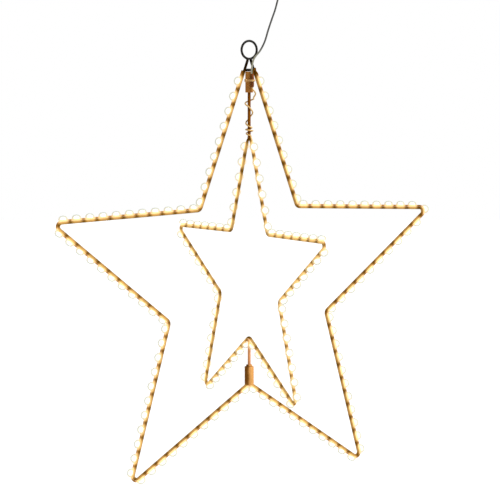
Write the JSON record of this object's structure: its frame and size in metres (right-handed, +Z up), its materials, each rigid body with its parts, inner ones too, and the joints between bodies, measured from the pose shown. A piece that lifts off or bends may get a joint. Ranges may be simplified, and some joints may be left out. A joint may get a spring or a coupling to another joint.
{
  "type": "hanging light star",
  "caption": "Hanging star of bent metal rod edged with small lens lights, with a smaller lit star that turns inside it on a pivot rod and pin, and a plug-in supply cord.",
  "frame": {"origin": "centre of the hanging ring", "axes": "+Z up; +X to the large star's right-hand tip, with the large star flat in the XZ plane; -Y towards the viewer"},
  "size_m": [0.5686, 0.3586, 0.7208],
  "materials": {
    "frame_paint": "satin bronze-brown lacquer",
    "ring_paint": "satin black lacquer",
    "sleeve_copper": "satin copper-gold lacquer",
    "lens": "clear warm-white lens with a light in it",
    "string_cable": "clear amber cable over copper wires",
    "cord": "smooth dark grey cord",
    "shrink_tube": "shrunk brown tube",
    "joint_tie_plastic": "smooth amber nylon tie",
    "hank_tie_rubber": "soft black band",
    "adapter_plastic": "fine-grained black",
    "board": "green solder mask",
    "transformer": "yellow tape round a core",
    "pin_metal": "bright nickel plate"
  },
  "bodies": {
    "outer_star": {"adapter_base": "adapter_plastic", "adapter_board": "board", "adapter_case": "adapter_plastic", "adapter_transformer": "transformer", "bottom_sleeve": "sleeve_copper", "cord_hank": "cord", "cord_joint": "shrink_tube", "cord_relief": "adapter_plastic", "crossbar": "frame_paint", "hanging_ring": "ring_paint", "hank_tie": "hank_tie_rubber", "inner_lead": "string_cable", "joint_tie": "joint_tie_plastic", "outer_frame": "frame_paint", "outer_lights_left": "lens", "outer_lights_lower_left": "lens", "outer_lights_lower_right": "lens", "outer_lights_right": "lens", "outer_lights_top_left": "lens", "outer_lights_top_right": "lens", "plug_lead": "cord", "plug_pin_left": "pin_metal", "plug_pin_right": "pin_metal", "supply_cord": "cord", "top_sleeve": "sleeve_copper"},
    "inner_star": {"inner_frame": "frame_paint", "top_rod": "frame_paint", "bottom_pin": "sleeve_copper", "bottom_collar": "sleeve_copper", "lead_winding": "string_cable", "inner_lights_left": "lens", "inner_lights_lower_left": "lens", "inner_lights_lower_right": "lens", "inner_lights_right": "lens", "inner_lights_top_left": "lens", "inner_lights_top_right": "lens"}
  },
  "joints": [
    {"name": "inner_star_turn", "type": "hinge", "parent": "outer_star", "child": "inner_star", "pos_m": [0, 0, -0.30683], "axis": [0, 0, 1], "range_deg": [-90, 90]}
  ]
}
